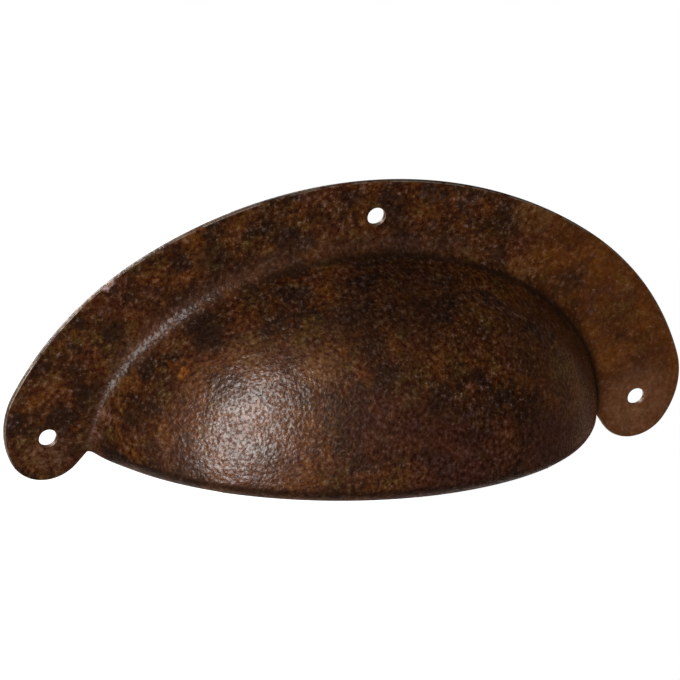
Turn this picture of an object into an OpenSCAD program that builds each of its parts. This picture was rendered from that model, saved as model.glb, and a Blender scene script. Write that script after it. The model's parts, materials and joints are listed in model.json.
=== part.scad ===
// Cup pull pressed from one sheet of steel: a half dome drawn out of a flat flange, open below.
// +X runs along the pull, +Z is up, and the dome stands out towards -Y.
// The origin lies midway between the two lobe screw holes, on the flange's flat back.

/* [Sheet] */
// Thickness of the steel sheet
sheet_t = 0.7; // [0.5:0.05:1.5]
// Radius inside the bend where the dome leaves the flange
bend_r = 2.4; // [0.8:0.1:3]

/* [Flange] */
// Width of the flange, across both lobes
flange_w = 100; // [90:0.5:115]
// Height of the flange above the line through the lobe holes
flange_top = 35.2; // [31:0.1:42]
// Depth of the lobes below that line
lobe_drop = 6.3; // [5.6:0.1:7.5]
// Radius of the round lower end of a lobe
lobe_r = 5.6; // [4.5:0.1:6.5]
// Radius of the flange's side, above a lobe
side_r = 11.3; // [9:0.1:14]
// Direction, from straight up, in which the crown arc hands over to the shoulder arc
crown_end = 33; // [27:1:38]
// Direction in which the shoulder arc hands over to the side arc
shoulder_end = 67; // [60:1:72]
// Direction in which the side arc hands over to the lobe arc
side_end = 120; // [105:1:130]

/* [Cup] */
// Width of the flat band between the cup and the flange's side
side_band = 12.6; // [10.5:0.1:14]
// Width of the flat band between the cup and the flange's top
top_band = 10.4; // [8.5:0.1:13]
// Depth of the cup's straight rim below the line through the lobe holes
rim_drop = 2.4; // [1.5:0.1:4]
// How far out from the cup's side the rim's end lies, on the bend
rim_out = 0.5; // [0:0.1:1.5]
// How far the dome stands out from the flange's front
cup_d = 20.4; // [15:0.1:25]
// How far the dome's centre lies behind the flange's front, which leans its walls
dome_back = 4.2; // [3:0.1:9]

/* [Screw holes] */
// Diameter of the three holes, each in the middle of the band
hole_d = 2.5; // [2.2:0.1:4.5]

/* [Hidden] */
patina = "#4a2d1c";

// Largest turn between two points of a drawn arc, and the facets of a full circle
arc_step = 2.5;
$fn = 96;
// Overlap where two surfaces meet smoothly, and the spare length of a cut
blend = 0.004;
spare = 1;

// The flange's outline is four arcs on each side, each tangent to the next. An arc's place on the outline is
// the direction it faces: 0 is straight up, 90 is sideways and 180 is straight down.
// The crown and shoulder radii follow from the width and the height that the four arcs have to make up.
span_x = flange_w / 2 - side_r * (1 - sin(shoulder_end));
span_z = flange_top + lobe_drop
    - side_r * (cos(shoulder_end) - cos(side_end)) - lobe_r * (cos(side_end) + 1);
shoulder_x = sin(shoulder_end) - sin(crown_end);
shoulder_z = cos(crown_end) - cos(shoulder_end);
crown_x = sin(crown_end);
crown_z = 1 - cos(crown_end);
solve = crown_x * shoulder_z - shoulder_x * crown_z;
crown_r = (span_x * shoulder_z - shoulder_x * span_z) / solve;
shoulder_r = (crown_x * span_z - span_x * crown_z) / solve;

function facing(a) = [sin(a), cos(a)];
crown_at = [0, flange_top - crown_r];
shoulder_at = crown_at + (crown_r - shoulder_r) * facing(crown_end);
side_at = shoulder_at + (shoulder_r - side_r) * facing(shoulder_end);
lobe_at = side_at + (side_r - lobe_r) * facing(side_end);

// The cup's size on the flange's front, and the corner where its rim meets the lobe
cup_w = flange_w - 2 * side_band;
cup_h = flange_top - top_band + rim_drop;
corner = [cup_w / 2 + rim_out, -rim_drop];
// The lobe arc ends where a straight line to that corner leaves it
to_corner = corner - lobe_at;
lobe_end = 360 + atan2(to_corner.x, to_corner.y) - acos(min(1, lobe_r / norm(to_corner)));

hole_x = (flange_w - side_band) / 2;
hole_z = flange_top - top_band / 2;

function arc(at, r, from, to) =
    let (n = ceil((to - from) / arc_step))
    [for (i = [0 : n]) at + r * facing(from + (to - from) * i / n)];

right_half = concat(
    arc(crown_at, crown_r, 0, crown_end),
    arc(shoulder_at, shoulder_r, crown_end, shoulder_end),
    arc(side_at, side_r, shoulder_end, side_end),
    arc(lobe_at, lobe_r, side_end, lobe_end),
    [corner]
);

// The dome is half of an ellipsoid cut off by the flange. Its three half-axes are taken at the sheet's front,
// and a face that lies deeper in the sheet is that much smaller all round.
function dome_axes(inset) =
    let (y = cup_d + dome_back, cut = sqrt(1 - pow(dome_back / y, 2)))
    [cup_w / 2 / cut, y, cup_h / cut] - [inset, inset, inset];

// The ellipse's point and its outward normal in the dome's section, at a given angle
function section_point(axes, a) = [axes.x * cos(a), axes.y * sin(a) - dome_back];
function section_normal(axes, a) =
    let (n = [axes.y * cos(a), axes.x * sin(a)])
    n / norm(n);

// The angle on the ellipse at which a bend of radius r, resting on the flange's face, touches it
function bend_angle(axes, r, face, low = 0, high = 90, steps = 40) =
    let (a = (low + high) / 2)
    let (p = section_point(axes, a) + r * section_normal(axes, a))
    steps == 0 ? a
    : p.y > face + r ? bend_angle(axes, r, face, low, a, steps - 1)
    : bend_angle(axes, r, face, a, high, steps - 1);

// The flange's outline, extruded through the sheet and the dome
module trimming() {
    rotate([90, 0, 0])
        translate([0, 0, -spare])
            linear_extrude(height = cup_d + sheet_t + 2 * spare)
                polygon(concat(right_half, [for (i = [len(right_half) - 1 : -1 : 1])
                    [-right_half[i].x, right_half[i].y]]));
}

// The ring of metal in the bend between the dome and the flange, for a face at the given depth in the sheet
module bend(axes, inset) {
    r = bend_r + inset;
    a = bend_angle(axes, r, -inset);
    touch = section_point(axes, a);
    centre = touch + r * section_normal(axes, a);
    inner = touch.x - r;
    foot = -inset - spare;
    scale([1, axes.z / axes.x, 1])
        rotate([0, 0, -90])
            rotate_extrude()
                difference() {
                    polygon([[inner, foot], [centre.x, foot], centre, touch, [inner, touch.y]]);
                    translate(centre) circle(r + blend);
                }
}

// All that lies behind one face of the sheet: the flange's plane, the dome and the bend between them
module behind(inset) {
    axes = dome_axes(inset);
    reach = 2 * flange_w;
    translate([-reach / 2, inset - sheet_t, -reach / 2])
        cube([reach, reach, reach]);
    translate([0, -sheet_t, -rim_drop]) {
        translate([0, dome_back, 0])
            scale(axes)
                sphere(1);
        rotate([90, 0, 0])
            bend(axes, inset);
    }
}

module screw_hole(x, z) {
    translate([x, spare, z])
        rotate([90, 0, 0])
            cylinder(d = hole_d, h = sheet_t + 2 * spare);
}

// The sheet is what is left between its front face and its back face, trimmed to the outline and punched
module cup_pull() {
    color(patina)
        difference() {
            intersection() {
                behind(0);
                trimming();
            }
            behind(sheet_t);
            for (x = [-hole_x, hole_x])
                screw_hole(x, 0);
            screw_hole(0, hole_z);
        }
}

cup_pull();
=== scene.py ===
import json

import bpy
import numpy as np
from mathutils import Matrix, Vector


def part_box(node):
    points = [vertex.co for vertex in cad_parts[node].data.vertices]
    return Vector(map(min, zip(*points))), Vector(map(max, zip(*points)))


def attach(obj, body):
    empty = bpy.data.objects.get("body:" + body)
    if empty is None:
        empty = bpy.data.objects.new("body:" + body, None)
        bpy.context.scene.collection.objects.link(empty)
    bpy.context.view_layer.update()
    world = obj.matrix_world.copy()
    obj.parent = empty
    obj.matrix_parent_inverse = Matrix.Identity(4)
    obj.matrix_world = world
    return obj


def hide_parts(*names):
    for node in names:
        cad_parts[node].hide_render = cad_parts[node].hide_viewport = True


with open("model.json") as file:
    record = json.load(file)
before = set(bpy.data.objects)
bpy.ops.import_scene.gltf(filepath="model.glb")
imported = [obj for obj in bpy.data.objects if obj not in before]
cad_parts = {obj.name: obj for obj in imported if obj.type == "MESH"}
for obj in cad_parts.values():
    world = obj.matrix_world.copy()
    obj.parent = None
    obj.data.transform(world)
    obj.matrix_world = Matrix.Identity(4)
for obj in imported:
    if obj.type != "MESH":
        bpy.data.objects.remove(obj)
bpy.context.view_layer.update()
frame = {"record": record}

# Sizes are in millimetres until a mesh is made
MM = 0.001

# Sizes that the frame gives, to the tenth of a millimetre that the part is drawn in
low, high = (np.round(np.array(corner) / MM, 1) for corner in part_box("cup_pull"))
mounts = {mount["name"]: mount for mount in frame["record"]["mounts"]}
SHEET_T = mounts["top_hole"]["dims"]["length_mm"]
HOLE_R = mounts["top_hole"]["dims"]["r_mm"]
HOLE_X = mounts["lobe_holes"]["dims"]["spacing_x_mm"] / 2
HOLE_Z = mounts["top_hole"]["pos_m"][2] / MM
FLANGE_W = high[0] - low[0]
FLANGE_TOP = high[2]
LOBE_DROP = -low[2]
CUP_D = -low[1] - SHEET_T
SIDE_BAND = FLANGE_W - 2 * HOLE_X
TOP_BAND = 2 * (FLANGE_TOP - HOLE_Z)

# The other sizes of the pressing
LOBE_R = 5.6
SIDE_R = 11.3
CROWN_END, SHOULDER_END, SIDE_END = 33, 67, 120
RIM_DROP = 2.4
RIM_OUT = 0.5
DOME_BACK = 4.2

# The bend's radius at the rim's two ends and further up, where the press left it softer, and the sine of
# the turn round the dome at which it reaches its softer radius
BEND_TIGHT, BEND_SOFT = 1.0, 4.0
BEND_EASES = 0.7

# Small forms of the finished sheet: its rubbed edges, and the rim that turns in under the fingers
EDGE_R = 0.14
LIP_H = 1.7
LIP_R = 3.0
# Heights over the flange between which the rim's turn sets in
LIP_FROM, LIP_FULL = 1.0, 7.0

# Bands along the crease: their place on the bend, as a share from the dome to the flange, and half-width
CREASES = {"crease": (0.6, 1.7), "crease_line": (0.33, 0.7), "bend_foot": (0.85, 1.5)}
# Heights over the rim at which its band starts and is full, and the height and half-width of its line
RIM_BAND_FROM, RIM_BAND_TO = 2.7, 0.9
RIM_LINE_AT, RIM_LINE_W = 1.2, 0.6
# Heights over the flange between which the rim's band and line set in
RIM_MARK_FROM, RIM_MARK_FULL = 1.0, 4.0
# Marks that the mesh carries for its finish and for its painted shade
MARKS = ("cut_edge", *CREASES, "rim_band", "rim_line")

# Cells of the sheet's grid: along the band, up the dome, down its skirt, across the bend and the flange
ALONG, UP, SKIRT, ROUND, ACROSS = 240, 68, 5, 16, 20
# The power by which the dome's rows crowd towards the rim, and the skirt's least width
ROWS_TO_RIM = 1.35
SKIRT_LEAST = 1.5
# A lobe's round end shapes the flange's rows over one part in this many of the band
BULGE_PART = 6
# Rings round a hole, the radius in which they take the place of cells, and the steps of a rubbed edge
HOLE_RINGS = 4
HOLE_PATCH = 2.4
EDGE_STEPS = 3
# Points on a curve that is searched for a tangent, on one that is then divided evenly, and on a lobe's end
SEARCH_POINTS, CURVE_POINTS, LOBE_POINTS = 20001, 4001, 400

CUP_W = FLANGE_W - 2 * SIDE_BAND
CUP_H = FLANGE_TOP - TOP_BAND + RIM_DROP


def facing(degrees):
    """Unit vectors in the flange's plane: 0 is straight up, 90 is sideways, 180 is straight down."""
    turn = np.radians(degrees)
    return np.stack([np.sin(turn), np.cos(turn)], -1)


def flange_arcs():
    """Centres and radii of the four tangent arcs of the outline's right half, crown to lobe.

    The crown and shoulder radii solve two linear equations: the arcs' steps sideways add up to half the
    width, and their steps down add up to the height.
    """
    crown, shoulder, side = facing([CROWN_END, SHOULDER_END, SIDE_END])
    span = np.array([FLANGE_W / 2 - SIDE_R * (1 - shoulder[0]),
                     FLANGE_TOP + LOBE_DROP - SIDE_R * (shoulder[1] - side[1]) - LOBE_R * (side[1] + 1)])
    steps = np.array([[crown[0], shoulder[0] - crown[0]], [1 - crown[1], crown[1] - shoulder[1]]])
    crown_r, shoulder_r = np.linalg.solve(steps, span)
    radii = np.array([crown_r, shoulder_r, SIDE_R, LOBE_R])
    first = np.array([[0, FLANGE_TOP - crown_r]])
    moves = (radii[:-1] - radii[1:])[:, None] * np.stack([crown, shoulder, side])
    return np.concatenate([first, first + np.cumsum(moves, 0)]), radii


ARC_CENTRES, ARC_RADII = flange_arcs()
CORNER = np.array([CUP_W / 2 + RIM_OUT, -RIM_DROP])
to_corner = CORNER - ARC_CENTRES[-1]
LOBE_END = (360 + np.degrees(np.arctan2(*to_corner))
            - np.degrees(np.arccos(min(1, LOBE_R / np.hypot(*to_corner)))))
# The direction on the lobe at which the band's end hands over to its outer side
LOBE_TURN = 160


def outline(degrees):
    """Points of the flange's outline that face the given directions: each arc's centre plus its radius."""
    arc = np.searchsorted([CROWN_END, SHOULDER_END, SIDE_END], degrees)
    return ARC_CENTRES[arc] + ARC_RADII[arc, None] * facing(degrees)


def spread(curve, shares):
    """Points of a dense curve at the given shares of its length."""
    run = np.concatenate([[0], np.cumsum(np.linalg.norm(np.diff(curve, axis=0), axis=1))])
    return np.stack([np.interp(shares * run[-1], run, axis) for axis in curve.T], -1)


def shares_of(curve):
    """The share of a curve's length at which each of its points lies."""
    run = np.concatenate([[0], np.cumsum(np.linalg.norm(np.diff(curve, axis=0), axis=1))])
    return run / run[-1]


def smooth(value, start, end):
    """Rises smoothly from 0 at start to 1 at end."""
    share = np.clip((value - start) / (end - start), 0, 1)
    return share * share * (3 - 2 * share)


def dome_axes(inset):
    """Half-axes of the dome's ellipsoid, for the face that lies inset below the sheet's front."""
    deep = CUP_D + DOME_BACK
    cut = np.sqrt(1 - (DOME_BACK / deep) ** 2)
    return np.array([CUP_W / 2 / cut, deep, CUP_H / cut]) - inset


def bend_sections(axes, inset, radii):
    """The bend in section at each column: a circle tangent to the dome's ellipse and to the flange's face.

    The circle's centre lies one radius out from a point of the ellipse, and that point is where the centre
    is one radius above the face. Points are (radius, height), from the dome to the flange.
    """
    turn = np.linspace(0, np.pi / 2, SEARCH_POINTS)
    normal = np.stack([axes[1] * np.cos(turn), axes[0] * np.sin(turn)], -1)
    normal /= np.linalg.norm(normal, axis=1, keepdims=True)
    point = np.stack([axes[0] * np.cos(turn), axes[1] * np.sin(turn) - DOME_BACK], -1)
    lift = point[:, 1] + (radii[:, None] + inset) * (normal[:, 1] - 1) + inset
    touch = np.argmin(np.abs(lift), axis=1)
    start = np.arctan2(-normal[touch, 1], -normal[touch, 0])
    sweep = np.linspace(start, np.full(start.shape, -np.pi / 2), ROUND + 1)
    reach = (radii + inset)[:, None]
    return point[touch] + reach * normal[touch] + reach * np.stack([np.cos(sweep), np.sin(sweep)], -1)


def turn_in(points, depth):
    """The rim turned in under the fingers: the lowest band of the dome follows a circle inwards.

    A point at height h under the band's top moves in by R - sqrt(R^2 - h^2), level and square to the rim's
    ellipse. The turn fades out where the dome nears the flange.
    """
    drop = np.clip(LIP_H - (points[..., 2] + RIM_DROP), 0, LIP_H)
    move = (LIP_R - np.sqrt(LIP_R ** 2 - drop ** 2)) * smooth(depth, LIP_FROM, LIP_FULL)
    deep = CUP_D + DOME_BACK
    out = np.stack([points[..., 0] / (CUP_W / 2) ** 2, (points[..., 1] + SHEET_T - DOME_BACK) / deep ** 2,
                    0 * move], -1)
    return points - move[..., None] * out / np.linalg.norm(out, axis=-1, keepdims=True)


def face_grid(inset):
    """One face of the sheet on a grid: rows from the rim over the dome and the bend to the outline.

    On the dome the rows are confocal half-ellipses, which lie flat along the rim and become the collar's
    ellipse; a point's height is the ellipsoid's at its elliptic radius. The skirt runs on down the dome to
    the bend, which follows its section at each column. The flange's rows run evenly from the bend's foot to
    the outline, and their ends follow the lobes. Points are (x, y, z).
    """
    axes = dome_axes(inset)
    flat = axes[2] / axes[0]
    columns = np.linspace(0, np.pi, ALONG + 1)
    radii = BEND_TIGHT + (BEND_SOFT - BEND_TIGHT) * smooth(np.sin(columns), 0, BEND_EASES)
    bend = bend_sections(axes, inset, radii)
    collar = bend[0, :, 0].min() - SKIRT_LEAST

    # The dome, whose rows end at the collar, and its skirt down to the bend
    focus = collar * np.sqrt(1 - flat ** 2)
    rise = np.linspace(0, np.arcsin(collar / axes[0]), CURVE_POINTS)
    climb = np.stack([axes[1] * np.cos(rise), axes[2] * np.sin(rise)], -1)
    heights = spread(climb, np.linspace(0, 1, UP + 1) ** ROWS_TO_RIM)[:, 1]
    stretch = np.arcsinh(heights / focus)[:, None]
    cap = focus * np.stack([np.cosh(stretch) * np.cos(columns), np.sinh(stretch) * np.sin(columns)], -1)
    down = np.linspace(collar, bend[0, :, 0], SKIRT + 1)[1:]
    skirt = np.stack([down * np.cos(columns), flat * down * np.sin(columns)], -1)
    plan = np.concatenate([cap, skirt])
    radius_squared = (plan[..., 0] / axes[0]) ** 2 + (plan[..., 1] / axes[2]) ** 2
    depth = axes[1] * np.sqrt(np.clip(1 - radius_squared, 0, 1)) - DOME_BACK
    dome = turn_in(np.stack([plan[..., 0], -SHEET_T - depth, plan[..., 1] - RIM_DROP], -1), depth)

    # The bend, whose rows past the cup's corner end on the straight edge that leads to the lobe. The share
    # of that edge at which a row's ellipse meets it solves a quadratic equation.
    ring, height = bend[1:, :, 0], bend[1:, :, 1]
    lobe_start = outline(np.array([LOBE_END]))[0]
    step = lobe_start - CORNER
    square = step[0] ** 2 + (step[1] / flat) ** 2
    half = CORNER[0] * step[0]
    rest = CORNER[0] ** 2 - ring[:, 0] ** 2
    share = np.clip((-half + np.sqrt(np.clip(half * half - square * rest, 0, None))) / square, 0, 1)
    ends = CORNER + share[:, None] * step
    first = np.where(share > 0, np.arctan2((ends[:, 1] + RIM_DROP) / flat, ends[:, 0]), 0)[:, None]
    turns = first + (np.pi - 2 * first) * columns / np.pi
    bend_rows = np.stack([ring * np.cos(turns), -SHEET_T - height,
                          flat * ring * np.sin(turns) - RIM_DROP], -1)

    # The flange: its right end runs down the straight edge and round the lobe, and its left end mirrors it
    foot = bend_rows[-1][:, [0, 2]]
    middle = ALONG // 2
    side = outline(np.linspace(LOBE_TURN, 0, CURVE_POINTS))
    right = spread(side, shares_of(foot[:middle + 1]))
    mirror = np.array([-1, 1])
    outer = np.concatenate([right, right[-2::-1] * mirror])
    end = np.concatenate([foot[:1], outline(np.linspace(LOBE_END, LOBE_TURN, LOBE_POINTS))])
    across = np.linspace(0, 1, ACROSS + 1)
    end = spread(end, across)
    rows = foot + across[:, None, None] * (outer - foot)
    bulge = (end - rows[:, 0])[:, None]
    fade = (np.clip(1 - np.linspace(0, BULGE_PART, ALONG + 1), 0, 1) ** 2)[:, None]
    rows = rows + fade * bulge + fade[::-1] * bulge * mirror
    flange = np.stack([rows[..., 0], np.full(rows.shape[:2], inset - SHEET_T), rows[..., 1]], -1)
    return np.concatenate([dome, bend_rows, flange[1:]])


def normals_of(grid):
    """Unit normals of a grid: the cross product of its two directions, out of the sheet's front."""
    down, along = np.gradient(grid, axis=0), np.gradient(grid, axis=1)
    normal = np.cross(down, along)
    return normal / np.linalg.norm(normal, axis=-1, keepdims=True)


def marks_of(grid):
    """The marks on a grid, in the order of their names.

    A crease's mark is a bell curve over the way along the rows, with its peak at its place on the bend. The
    rim's band rises as the dome comes down to the rim, and its line is a bell curve over the height.
    """
    run = np.cumsum(np.linalg.norm(np.diff(grid, axis=0, prepend=grid[:1]), axis=-1), axis=0)
    creases = [np.exp(-((run - run[UP + SKIRT + int(share * ROUND)]) / width) ** 2)
               for share, width in CREASES.values()]
    near = smooth(-SHEET_T - grid[..., 1], RIM_MARK_FROM, RIM_MARK_FULL)
    height = grid[..., 2] + RIM_DROP
    rim_band = near * smooth(height, RIM_BAND_FROM, RIM_BAND_TO)
    rim_line = near * np.exp(-((height - RIM_LINE_AT) / RIM_LINE_W) ** 2)
    return np.stack([0 * near, *creases, rim_band, rim_line], -1)


def border(block):
    """The border of a grid of indices as one closed loop."""
    return np.concatenate([block[0], block[1:, -1], block[-1, -2::-1], block[-2:0:-1, 0]])


def quads(rows, closed=False):
    """Faces between neighbouring rows of indices, with the last column joined to the first if closed."""
    if closed:
        rows = np.concatenate([rows, rows[:, :1]], 1)
    return np.stack([rows[:-1, :-1], rows[:-1, 1:], rows[1:, 1:], rows[1:, :-1]], -1)


def edge_rows(front, back, normal, out):
    """A cut edge of the sheet: a quarter circle off the front, the wall, and a quarter circle to the back.

    Each row is the loop moved by r * (n cos t + m sin t) from its circle's centre, where n is the face's
    normal and m points out of the edge.
    """
    turn = np.linspace(0, np.pi / 2, EDGE_STEPS + 1)[:, None, None]
    inner = EDGE_R * (np.sin(turn) - 1) * out
    front_rows = front + inner + EDGE_R * (np.cos(turn) - 1) * normal
    back_rows = back + inner - EDGE_R * (np.cos(turn) - 1) * normal
    return np.concatenate([front_rows, back_rows[::-1]])


def out_of(loop, normal):
    """Directions out of a cut edge: square to the loop and in the face."""
    along = np.roll(loop, -1, 0) - np.roll(loop, 1, 0)
    out = np.cross(normal, along)
    return out / np.linalg.norm(out, axis=1, keepdims=True)


# The marks of a plain face and of a cut edge
EDGE = MARKS.index("cut_edge")
PLAIN, CUT = np.zeros(len(MARKS)), np.eye(len(MARKS))[EDGE]
# The direction that the flange's front faces, and the two axes of its plane
FRONT = np.array([0.0, -1.0, 0.0])
IN_PLANE = np.array([1, 0, 1])


def cup_pull_sheet():
    """Vertices, faces and marks of the whole sheet: two face grids, three holes and the cut edges."""
    front, back = face_grid(0), face_grid(SHEET_T)
    shape = front.shape[:2]
    size = shape[0] * shape[1]
    normal = normals_of(front)
    index = np.arange(size).reshape(shape)
    points = [front.reshape(-1, 3), back.reshape(-1, 3)]
    marks = [marks_of(front).reshape(size, -1), marks_of(back).reshape(size, -1)]
    faces = []
    keep = np.ones((shape[0] - 1, shape[1] - 1), bool)
    count = 2 * size

    def add(rows, mark):
        """Adds rows of points with their marks and gives their indices."""
        nonlocal count
        points.append(rows.reshape(-1, 3))
        marks.append(np.broadcast_to(mark, (*rows.shape[:2], len(MARKS))).reshape(-1, len(MARKS)))
        count += points[-1].shape[0]
        return np.arange(count - points[-1].shape[0], count).reshape(rows.shape[:2])

    # The outline and the rim
    loop = border(index)
    front_loop, back_loop = front.reshape(-1, 3)[loop], back.reshape(-1, 3)[loop]
    loop_normal = normal.reshape(-1, 3)[loop]
    rows = edge_rows(front_loop, back_loop, loop_normal, out_of(front_loop, loop_normal))
    points[0][loop], points[1][loop] = rows[0], rows[-1]
    marks[0][loop, EDGE], marks[1][loop, EDGE] = 1, 1
    strip = np.concatenate([loop[None], add(rows[1:-1], marks[0][loop]), loop[None] + size])
    faces.append(quads(strip, True))

    # The holes: the cells round each one give way to rings that run from the cells' border to the hole
    for x, z in ((HOLE_X, 0), (-HOLE_X, 0), (0, HOLE_Z)):
        near = np.hypot(front[..., 0] - x, front[..., 2] - z) < HOLE_PATCH
        near[:UP + SKIRT + ROUND] = False
        row, column = np.nonzero(near)
        block = np.s_[row.min():row.max() + 1, column.min():column.max() + 1]
        keep[row.min():row.max(), column.min():column.max()] = False
        loop = border(index[block])
        outer_front, outer_back = front.reshape(-1, 3)[loop], back.reshape(-1, 3)[loop]
        away = (outer_front - [x, 0, z]) * IN_PLANE
        away /= np.linalg.norm(away, axis=1, keepdims=True)
        hole_front = [x, -SHEET_T, z] + HOLE_R * away
        hole_back = [x, 0, z] + HOLE_R * away
        face_normal = np.broadcast_to(FRONT, away.shape)
        rows = edge_rows(hole_front, hole_back, face_normal, -away)
        share = np.linspace(0, 1, HOLE_RINGS + 1)[1:, None, None]
        front_ring = add(outer_front + share * (rows[0] - outer_front), PLAIN)
        back_ring = add(outer_back + share * (rows[-1] - outer_back), PLAIN)
        faces.append(quads(np.concatenate([loop[None], front_ring]), True)[..., ::-1])
        faces.append(quads(np.concatenate([loop[None] + size, back_ring]), True))
        wall = np.concatenate([front_ring[-1:], add(rows[1:-1], CUT), back_ring[-1:]])
        faces.append(quads(wall, True)[..., ::-1])

    faces.append(quads(index)[keep][:, ::-1])
    faces.append(quads(index + size)[keep])
    faces = np.concatenate([face.reshape(-1, 4) for face in faces])
    used, faces = np.unique(faces, return_inverse=True)
    return np.concatenate(points)[used], faces.reshape(-1, 4), np.concatenate(marks)[used]


def mesh_object(name, points, faces):
    """A smooth-shaded object at the origin from points in millimetres and faces."""
    mesh = bpy.data.meshes.new(name)
    mesh.from_pydata((points * MM).tolist(), [], faces.tolist())
    mesh.polygons.foreach_set("use_smooth", np.ones(len(faces), bool))
    mesh.update()
    piece = bpy.data.objects.new(name, mesh)
    bpy.context.scene.collection.objects.link(piece)
    return piece


def colour(code):
    """Linear RGBA of an sRGB hex colour."""
    value = np.array([int(code[i:i + 2], 16) for i in (1, 3, 5)]) / 255
    linear = np.where(value <= 0.04045, value / 12.92, ((value + 0.055) / 1.055) ** 2.4)
    return (*linear, 1.0)


def per_mm(size):
    """A pattern's scale from the size of its features in millimetres."""
    return 1 / (size * MM)


def node(tree, kind, inputs=(), gives=0, **settings):
    """Adds a node with its settings and gives one of its outputs.

    The inputs are a list in the order of the node's sockets, or a dictionary by socket. An input that is
    another node's output is linked, and any other is set.
    """
    made = tree.nodes.new(kind)
    for key, value in settings.items():
        setattr(made, key, value)
    for socket, value in inputs.items() if isinstance(inputs, dict) else enumerate(inputs):
        if isinstance(value, bpy.types.NodeSocket):
            tree.links.new(value, made.inputs[socket])
        else:
            made.inputs[socket].default_value = value
    return made.outputs[gives] if made.outputs else made


def ramp_stops(ramp, stops):
    """Sets a colour ramp's stops from (place, hex colour) pairs."""
    elements = ramp.color_ramp.elements
    for place, _ in stops[len(elements):]:
        elements.new(place)
    for element, (place, code) in zip(elements, stops):
        element.position = place
        element.color = colour(code)


# Kinds of node that are used often
NOISE, SPAN, MATH = "ShaderNodeTexNoise", "ShaderNodeMapRange", "ShaderNodeMath"
VECTOR, MIX, BUMP = "ShaderNodeVectorMath", "ShaderNodeMix", "ShaderNodeBump"
# Settings that are used often: a span with soft ends, and what a math node does
SOFT = {"interpolation_type": "SMOOTHSTEP"}
TIMES, TIMES_PLUS, LARGEST = ({"operation": name} for name in ("MULTIPLY", "MULTIPLY_ADD", "MAXIMUM"))
# A mix of colours: its two colours' sockets and its result's
MIX_A, MIX_B, MIXED = 6, 7, 2

# Cloudy patterns of the finish: the size of their features in millimetres, their detail and its roughness.
# Glint and grain stand for a finer grit, and are as coarse as they need to be to show.
PATTERNS = {
    "cloud": (6.0, 5, 0.62), "red": (5.0, 4, 0.60), "olive": (4.0, 5, 0.70), "black": (5.0, 5, 0.60),
    "bloom": (3.5, 4, 0.60), "rust": (1.6, 4, 0.60), "speck": (0.6, 2, 0.50), "mottle": (0.6, 3, 0.65),
    "rubbed": (3.0, 4, 0.60), "wax": (2.4, 3, 0.60), "glint": (0.4, 1, 0.50), "grain": (0.5, 1, 0.45),
    "pits": (1.6, 2, 0.50),
}
# Each pattern is taken this many metres aside from the one before, so that no two agree
PATTERN_STEP = 0.37
# The middle of a pattern's values
MIDDLE = 0.5

# The oxide's colour at rising values of its cloud
SKIN = [(0.36, "#230f02"), (0.46, "#381a03"), (0.54, "#4a2606"), (0.64, "#5c320a")]

# Colours over it: the pattern, the span of its values in which the colour sets in, the colour and its share
OVERLAYS = [
    ("red", 0.48, 0.62, "#552a14", 0.5), ("olive", 0.53, 0.64, "#4c3812", 0.6),
    ("black", 0.53, 0.62, "#170d08", 0.8), ("bloom", 0.56, 0.66, "#36211c", 0.55),
    ("rust", 0.66, 0.74, "#74400f", 0.3), ("mottle", 0.54, 0.72, "#765540", 0.30),
    ("speck", 0.62, 0.72, "#8e7262", 0.28),
]

# The oxide grows more even between two places along x, to a share of its mottling
CALM_FROM, CALM_TO = 12, 40
CALM_SHARE = 0.5
# It is paler on the right: two places along x, and the shares of its colour that it shows at each of them
PALE_FROM, PALE_TO = 15, 40
PALE_LEFT, PALE_RIGHT = 0.57, 0.92
# The fine mottle: the span of its values, its share of the colour, what red, green and blue take up of that
# share, and the least of a colour that it leaves
MOTTLE_SPAN = (0.30, 0.70)
MOTTLE_SHARE = 0.80
MOTTLE_TONE = (0.62, 0.98, 1.65)
MOTTLE_LEAST = 0.06
# Painted shade under the rim, where the turned-in rim faces down: the span of the rim's band, and the
# share of the colour at the span's two ends
UNDER_RIM_SHADE = (0.3, 1.0, 1.0, 0.75)
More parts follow.
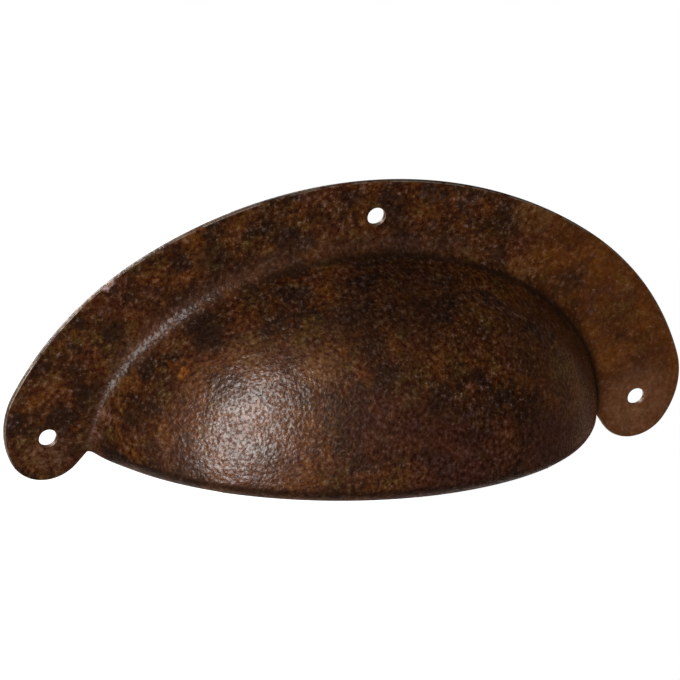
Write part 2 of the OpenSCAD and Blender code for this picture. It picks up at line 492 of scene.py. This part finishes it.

# Single spots on the front, by colour, mostly stained oxide, with some painted shade and one painted
# highlight among them: each has its place, its radius and its share of the colour
STAINS_AND_PAINTED_LIGHT = {
    "#140b08": [
        ((-25.0, -5.0, 16.4), 2.6, 0.85), ((-36.0, -0.7, 15.5), 1.7, 0.75), ((-23.5, -0.7, 25.0), 2.6, 0.6),
        ((-13.0, -0.7, 27.5), 2.4, 0.6), ((2.5, -0.7, 30.0), 2.6, 0.6), ((8.0, -0.7, 33.0), 2.2, 0.6),
        ((-34.5, -6.0, 4.5), 2.2, 0.7), ((-38.5, -0.7, 6.5), 1.6, 0.7), ((-29.0, -12.5, 1.5), 2.0, 0.6),
        # The five on this line and the next, on the dome's top, middle and right, are partly painted shade,
        # where the dome turns away from the light
        ((20.5, -16.5, 3.0), 5.0, 0.45), ((1.0, -8.5, 20.5), 9.0, 0.45), ((-8.0, -10.5, 19.5), 3.0, 0.5),
        ((2.3, -18.8, 8.0), 4.0, 0.4), ((20.0, -11.0, 14.0), 6.0, 0.25),
    ],
    "#3a1c17": [
        ((8.0, -20.0, 1.0), 9.0, 0.6), ((24.0, -15.0, 1.0), 7.0, 0.5), ((-3.0, -18.0, 8.0), 6.0, 0.5),
    ],
    "#6b4420": [
        ((-28.5, -4.0, 15.0), 1.6, 0.6), ((-15.0, -0.7, 26.0), 1.2, 0.6), ((-12.0, -14.0, 14.5), 2.8, 0.7),
        ((22.0, -0.7, 21.0), 1.8, 0.7), ((-20.5, -10.0, 15.5), 3.0, 0.5), ((24.0, -0.7, 29.0), 3.0, 0.5),
    ],
    "#8c4e12": [
        ((-28.3, -7.4, 11.8), 0.8, 0.7), ((-31.3, -9.1, 5.2), 1.0, 0.5), ((-1.0, -13.8, 17.1), 1.2, 0.2),
    ],
    # These two, on the bend's lower left end, are a painted highlight at the lower end of the shine along
    # the bend
    "#805440": [((-36.5, -1.5, 3.2), 1.1, 0.7), ((-37.2, -1.2, 0.8), 1.2, 0.7)],
    "#63402a": [((44.0, -0.7, -1.0), 6.0, 0.6), ((-43.5, -0.7, -2.0), 3.0, 0.6)],
    "#b58f80": [((-37.4, -0.7, 21.8), 0.6, 0.9)],
}
# A stain's edge sways: the reach of the sway, the size of its waves and the waves' detail
STAIN_SWAY = 3.0
STAIN_WAVE = 2.5
STAIN_DETAIL = 3.0
# The multiples of a stain's radius at which its colour ends and is full
STAIN_OUT, STAIN_IN = 1.4, 0.4

# Painted shade along the crease and the rim, where the crease's valley and the turned-in rim face away
# from the light: the mark, the two places along x between which it sets in, its colour and its share
CREASE_RIM_SHADE = [
    ("bend_foot", 26, 8, "#2c1a14", 0.55), ("crease_line", -24, -4, "#0f0703", 0.85),
    ("rim_line", 25, -5, "#150a06", 0.8),
]

# Bare metal on the cut edges: its colour, its share, how metallic it is, and the spans of the rubbed
# pattern and of the edge's mark in which it sets in
BARE, BARE_SHARE, BARE_METALLIC = "#948474", 0.6, 0.8
RUBBED_SPAN, EDGE_SPAN = (0.40, 0.60), (0.75, 1.0)

# The wax is the product of these: a pattern or a mark, the span of its values, and the wax at the span's
# two ends. It is patchy and speckled, and thin on the bend and under the rim.
WAX = [
    ("wax", 0.40, 0.58, 0.7, 1.0), ("glint", 0.36, 0.62, 0.2, 1.0), ("crease", 0.2, 1.0, 1.0, 0.45),
    ("rim_band", 0.4, 1.0, 1.0, 0.1),
]
WAX_ROUGHNESS = 0.27
# The oxide's roughness at the two ends of a span of the grain, and what the bend adds to it
GRAIN_ROUGHNESS = (0.36, 0.60, 0.58, 0.46)
BEND_ROUGHNESS = 0.2
# The oxide's own shine, which is brown
SHINE, SHINE_TINT = 0.6, "#c98a66"
# Heights of the relief
PIT_DEPTH, GRAIN_DEPTH = 0.09, 0.06


def patinated_steel():
    """Mild steel, pressed, rusted brown in a bath and waxed.

    The oxide is a dark umber skin that clouds from near black to ochre over a few millimetres. Its grain is
    fine and hard and takes up the wax unevenly, so the shine is speckled and not one clean reflection. Cut
    edges are rubbed through to the grey metal.
    """
    material = bpy.data.materials.new("patinated_steel_waxed")
    material.use_nodes = True
    tree = material.node_tree
    tree.nodes.clear()
    place = node(tree, "ShaderNodeTexCoord", gives="Object")
    along = node(tree, "ShaderNodeSeparateXYZ", [place], "X")
    mark = {name: node(tree, "ShaderNodeAttribute", gives="Fac", attribute_name=name) for name in MARKS}
    field = {}
    for number, (name, (size, detail, rough)) in enumerate(PATTERNS.items()):
        aside = node(tree, VECTOR, [place, [PATTERN_STEP * number] * 3])
        field[name] = node(tree, NOISE, {"Vector": aside, "Scale": per_mm(size), "Detail": detail,
                                         "Roughness": rough})

    # Layers of colour over the oxide's skin, each with its share: clouds, single spots and painted shade
    mottled = node(tree, SPAN, [along, CALM_FROM * MM, CALM_TO * MM, 1.0, CALM_SHARE], **SOFT)
    layers = []
    for name, start, end, code, share in OVERLAYS:
        cover = node(tree, SPAN, [field[name], start, end, 0.0, share], **SOFT)
        layers.append((code, node(tree, MATH, [cover, mottled], **TIMES)))
    wave = {"Vector": place, "Scale": per_mm(STAIN_WAVE), "Detail": STAIN_DETAIL}
    sway = node(tree, NOISE, wave, "Color")
    sway = node(tree, VECTOR, [sway, [-MIDDLE] * 3])
    swayed = node(tree, VECTOR, [sway, [STAIN_SWAY * MM] * 3, place], **TIMES_PLUS)
    for code, stains_and_painted_light in STAINS_AND_PAINTED_LIGHT.items():
        for centre, radius, share in stains_and_painted_light:
            away = node(tree, VECTOR, [swayed, np.array(centre) * MM], "Value", operation="DISTANCE")
            span = [away, STAIN_OUT * radius * MM, STAIN_IN * radius * MM, 0.0, share]
            layers.append((code, node(tree, SPAN, span, **SOFT)))
    # Painted shade along the crease and the rim
    for name, start, end, code, share in CREASE_RIM_SHADE:
        shaded = node(tree, SPAN, [along, start * MM, end * MM, 0.0, share], **SOFT)
        layers.append((code, node(tree, MATH, [mark[name], shaded], **TIMES)))
    cloud = node(tree, MATH, [field["cloud"], MIDDLE], operation="SUBTRACT")
    cloud = node(tree, MATH, [cloud, mottled, MIDDLE], **TIMES_PLUS)
    skin = node(tree, "ShaderNodeValToRGB", [cloud])
    ramp_stops(skin.node, SKIN)
    tint = skin
    for code, share in layers:
        tint = node(tree, MIX, {"Factor": share, MIX_A: tint, MIX_B: colour(code)}, MIXED, data_type="RGBA")

    # The fine mottle makes it lighter and darker, blue most and red least, so that a light grain is tan and
    # not orange. Under the rim it is darkened, a painted shade where the turned-in rim faces down.
    mottle = node(tree, SPAN, [field["mottle"], *MOTTLE_SPAN, -MOTTLE_SHARE, MOTTLE_SHARE])
    mottle = node(tree, MATH, [mottle, mottled], **TIMES)
    pale = node(tree, SPAN, [along, PALE_FROM * MM, PALE_TO * MM, PALE_LEFT, PALE_RIGHT], **SOFT)
    shade = node(tree, VECTOR, [mottle, MOTTLE_TONE, pale], **TIMES_PLUS)
    shade = node(tree, VECTOR, [shade, [MOTTLE_LEAST] * 3], **LARGEST)
    under_rim_shade = node(tree, SPAN, [mark["rim_band"], *UNDER_RIM_SHADE], **SOFT)
    shade = node(tree, VECTOR, {"Vector": shade, "Scale": under_rim_shade}, operation="SCALE")
    tint = node(tree, VECTOR, [tint, shade], **TIMES)

    # Cut edges are bare in places
    rubbed = node(tree, SPAN, [field["rubbed"], *RUBBED_SPAN], **SOFT)
    edge = node(tree, SPAN, [mark["cut_edge"], *EDGE_SPAN], **SOFT)
    bare = node(tree, MATH, [rubbed, edge], **TIMES)
    share = node(tree, MATH, [bare, BARE_SHARE], **TIMES)
    tint = node(tree, MIX, {"Factor": share, MIX_A: tint, MIX_B: colour(BARE)}, MIXED, data_type="RGBA")

    wax = 1.0
    for name, *span in WAX:
        part = node(tree, SPAN, [mark[name] if name in mark else field[name], *span], **SOFT)
        wax = node(tree, MATH, [wax, part], **TIMES)

    rough = node(tree, SPAN, [field["grain"], *GRAIN_ROUGHNESS], **SOFT)
    relief = node(tree, BUMP, {"Height": field["pits"], "Distance": PIT_DEPTH * MM})
    relief = node(tree, BUMP, {"Height": field["grain"], "Distance": GRAIN_DEPTH * MM, "Normal": relief})
    shader = node(tree, "ShaderNodeBsdfPrincipled", {
        "Base Color": tint, "Normal": relief,
        "Metallic": node(tree, MATH, [bare, BARE_METALLIC], **TIMES),
        "Roughness": node(tree, MATH, [mark["crease"], BEND_ROUGHNESS, rough], **TIMES_PLUS),
        "Specular IOR Level": SHINE, "Specular Tint": colour(SHINE_TINT),
        "Coat Weight": wax, "Coat Roughness": WAX_ROUGHNESS, "Coat Normal": relief})
    node(tree, "ShaderNodeOutputMaterial", [shader])
    return material


points, faces, marks = cup_pull_sheet()
cup_pull = mesh_object("cup_pull_sheet", points, faces)
for name, values in zip(MARKS, marks.T):
    attribute = cup_pull.data.attributes.new(name, "FLOAT", "POINT")
    attribute.data.foreach_set("value", values.astype(np.float32))
cup_pull.data.materials.append(patinated_steel())
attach(cup_pull, "root")
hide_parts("cup_pull")

# The paper sweep under and behind the part, which ends in front of it
SWEEP_W = 900
SWEEP_FRONT, SWEEP_BACK = -150, 1300
SWEEP_LOW, SWEEP_HIGH = -500, 900
SWEEP_R = 350
SWEEP_POINTS = 25
# The paper's colour, roughness and shine, and what it gives off in view and in gloss so that it is white
PAPER, PAPER_ROUGHNESS, PAPER_SHINE = "#f4f4f2", 0.9, 0.1
PAPER_GLOW = 0.97
WHITE = "#ffffff"


def paper_sweep():
    """A sheet of paper: a level stretch, a quarter circle and an upright stretch, carried along x."""
    turn = np.linspace(-np.pi / 2, 0, SWEEP_POINTS)
    curve = np.stack([SWEEP_BACK - SWEEP_R + SWEEP_R * np.cos(turn),
                      SWEEP_LOW + SWEEP_R + SWEEP_R * np.sin(turn)], -1)
    profile = np.concatenate([[[SWEEP_FRONT, SWEEP_LOW]], curve, [[SWEEP_BACK, SWEEP_HIGH]]])
    x = np.array([-SWEEP_W / 2, SWEEP_W / 2])
    grid = np.stack(np.broadcast_arrays(x[None], profile[:, :1], profile[:, 1:]), -1)
    rows = np.arange(grid.size // 3).reshape(grid.shape[:2])
    return grid.reshape(-1, 3), quads(rows).reshape(-1, 4)


def white_paper():
    """Matt white paper: it takes shadows as paper does, and its tone in view is topped up to white."""
    material = bpy.data.materials.new("white_paper_matt")
    material.use_nodes = True
    tree = material.node_tree
    tree.nodes.clear()
    path = node(tree, "ShaderNodeLightPath").node.outputs
    seen = node(tree, MATH, [path["Is Camera Ray"], path["Is Glossy Ray"]], **LARGEST)
    seen = node(tree, MATH, [seen, path["Is Transmission Ray"]], **LARGEST)
    glow = node(tree, MATH, [seen, PAPER_GLOW], **TIMES)
    shader = node(tree, "ShaderNodeBsdfPrincipled", {
        "Base Color": colour(PAPER), "Roughness": PAPER_ROUGHNESS, "Specular IOR Level": PAPER_SHINE,
        "Emission Color": colour(WHITE), "Emission Strength": glow})
    node(tree, "ShaderNodeOutputMaterial", [shader])
    return material


floor = mesh_object("paper_floor", *paper_sweep())
floor.data.materials.append(white_paper())

# The camera stands where the photograph was taken from. The picture's side and the focal length are in
# pixels.
PHOTO_SIDE = 680
FOCAL_PX = 4611
VIEW_AZ, VIEW_EL, VIEW_ROLL = -25.21, 24.58, 7.42
VIEW_AT = Vector((-3.01, -SHEET_T, 11.87)) * MM
VIEW_FROM = 624.4 * MM


def direction(azimuth, elevation):
    """Unit vector towards a place round the part: azimuth 0 is in front, elevation is over the level."""
    around, over = np.radians([azimuth, elevation])
    return Vector((np.sin(around) * np.cos(over), -np.cos(around) * np.cos(over), np.sin(over)))


def aimed(back, roll=0.0):
    """Rotation of a camera or a lamp that looks along -back with +Z up, turned by roll degrees."""
    right = Vector((0, 0, 1)).cross(back).normalized()
    up = back.cross(right)
    turn = Matrix((right, up, back)).transposed()
    return (turn @ Matrix.Rotation(np.radians(roll), 3, "Z")).to_quaternion()


camera = bpy.data.objects.new("camera", bpy.data.cameras.new("camera"))
bpy.context.scene.collection.objects.link(camera)
bpy.context.scene.camera = camera
camera.data.lens = FOCAL_PX * camera.data.sensor_width / PHOTO_SIDE
camera.rotation_mode = "QUATERNION"
camera.rotation_quaternion = aimed(direction(VIEW_AZ, VIEW_EL), VIEW_ROLL)
camera.location = VIEW_AT + VIEW_FROM * direction(VIEW_AZ, VIEW_EL)


def softbox(name, azimuth, elevation, away, width, height, level, tint=WHITE):
    """A softbox that faces the part, with its distance and its two sides in metres.

    Its power is level * pi^2 * distance^2. At level 1, a surface square to it shows its colour as written.
    """
    lamp = bpy.data.lights.new(name, "AREA")
    lamp.shape = "RECTANGLE"
    lamp.size, lamp.size_y = width, height
    lamp.color = colour(tint)[:3]
    lamp.energy = level * np.pi ** 2 * away ** 2
    box = bpy.data.objects.new(name, lamp)
    bpy.context.scene.collection.objects.link(box)
    box.location = away * direction(azimuth, elevation)
    box.rotation_mode = "QUATERNION"
    box.rotation_quaternion = aimed(direction(azimuth, elevation))


# A tall key beside the camera, a weak warm fill low on the right, and one behind the part
softbox("key_softbox", azimuth=-31, elevation=15, away=0.95, width=0.34, height=0.95, level=1.5)
softbox("fill_softbox", azimuth=115, elevation=-14, away=0.5, width=0.4, height=0.4, level=0.05,
        tint="#ffbf95")
softbox("back_softbox", azimuth=-150, elevation=20, away=0.9, width=0.5, height=0.5, level=0.6)

# The room is white where it is in view, and dim as a light and in gloss
ROOM_LIGHT, ROOM_GLOSS = 0.03, 0.04
world = bpy.data.worlds.new("studio")
bpy.context.scene.world = world
world.use_nodes = True
room = world.node_tree
path = node(room, "ShaderNodeLightPath").node.outputs
gloss = node(room, MATH, [path["Is Glossy Ray"], ROOM_GLOSS], **TIMES)
level = node(room, MATH, [path["Is Camera Ray"], path["Is Transmission Ray"]], **LARGEST)
level = node(room, MATH, [level, gloss], **LARGEST)
level = node(room, MATH, [level, ROOM_LIGHT], **LARGEST)
room.nodes["Background"].inputs["Color"].default_value = colour(WHITE)
room.links.new(level, room.nodes["Background"].inputs["Strength"])
bpy.context.scene.view_settings.view_transform = "Standard"
